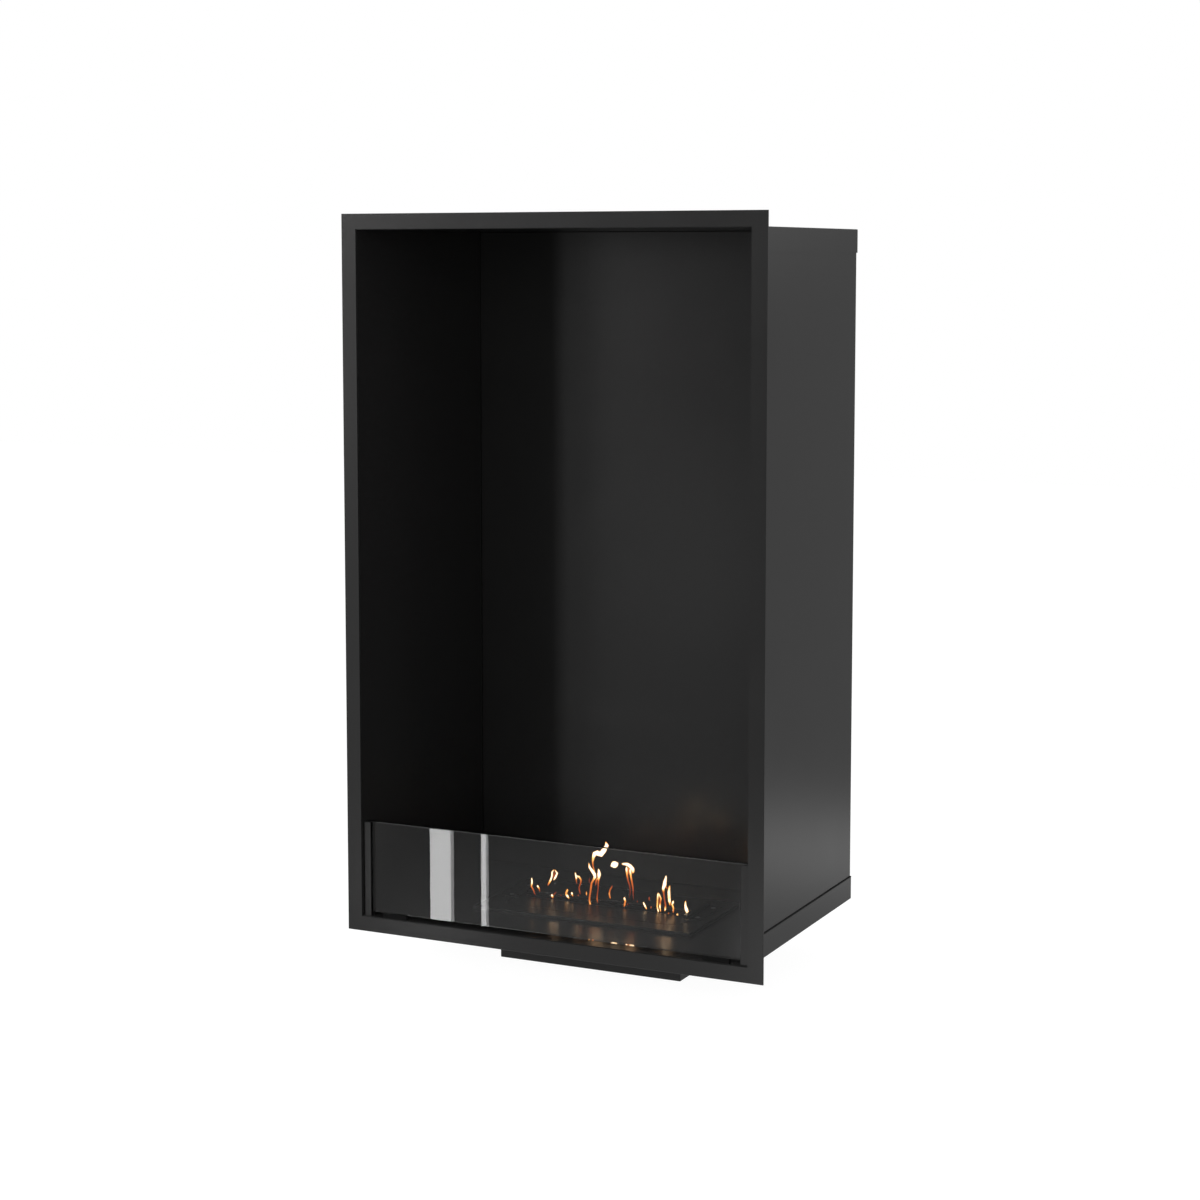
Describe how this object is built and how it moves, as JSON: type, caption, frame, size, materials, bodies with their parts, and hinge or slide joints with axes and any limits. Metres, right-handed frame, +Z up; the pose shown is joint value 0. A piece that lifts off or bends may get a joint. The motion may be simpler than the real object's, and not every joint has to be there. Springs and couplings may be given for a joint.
{
  "type": "bioethanol fireplace insert",
  "caption": "Tall built-in bioethanol firebox: flat front frame, lapped steel casing, low glass screen in two posts, and a lift-out slot burner with a sliding snuffer lid in a drop-in well.",
  "frame": {"origin": "centre of the bounding box in X and Y, at the level of the burner well's underside, the lowest face", "axes": "+X to the right of someone facing the fire, the front faces -Y, +Z up"},
  "size_m": [0.502, 0.312, 0.842],
  "materials": {
    "black_coat": "satin black powder coat",
    "burner_black": "smooth heat-proof black enamel",
    "stainless": "brushed stainless steel",
    "bare_steel": "zinc-plated steel",
    "glass": "clear toughened glass with polished edges",
    "silicone": "black silicone",
    "ceramic_wool": "white ceramic fibre"
  },
  "bodies": {
    "firebox": {"front_frame": "black_coat", "left_side_panel": "black_coat", "right_side_panel": "black_coat", "top_cap": "black_coat", "bottom_tray": "black_coat", "rear_panel": "black_coat", "inner_back_panel": "black_coat", "left_back_spacer": "bare_steel", "right_back_spacer": "bare_steel", "spacer_rivets": "bare_steel", "left_glass_post": "black_coat", "right_glass_post": "black_coat", "glass_rest_pads": "silicone", "burner_well": "black_coat", "well_rivets": "bare_steel"},
    "glass": {"glass_pane": "glass"},
    "burner": {"burner_tank": "stainless", "burner_trim_plate": "burner_black", "burner_deck": "burner_black", "ceramic_wool": "ceramic_wool", "wick_retainer": "stainless", "left_lid_guide": "burner_black", "right_lid_guide": "burner_black", "guide_rivets": "bare_steel"},
    "lid": {"snuffer_lid": "burner_black"}
  },
  "joints": [
    {"name": "glass_lift", "type": "slide", "parent": "firebox", "child": "glass", "axis": [0, 0, 1], "range_m": [0, 0.106]},
    {"name": "burner_lift", "type": "slide", "parent": "firebox", "child": "burner", "axis": [0, 0, 1], "range_m": [0, 0.062]},
    {"name": "lid_slide", "type": "slide", "parent": "burner", "child": "lid", "axis": [0, -1, 0], "range_m": [0, 0.026]}
  ]
}
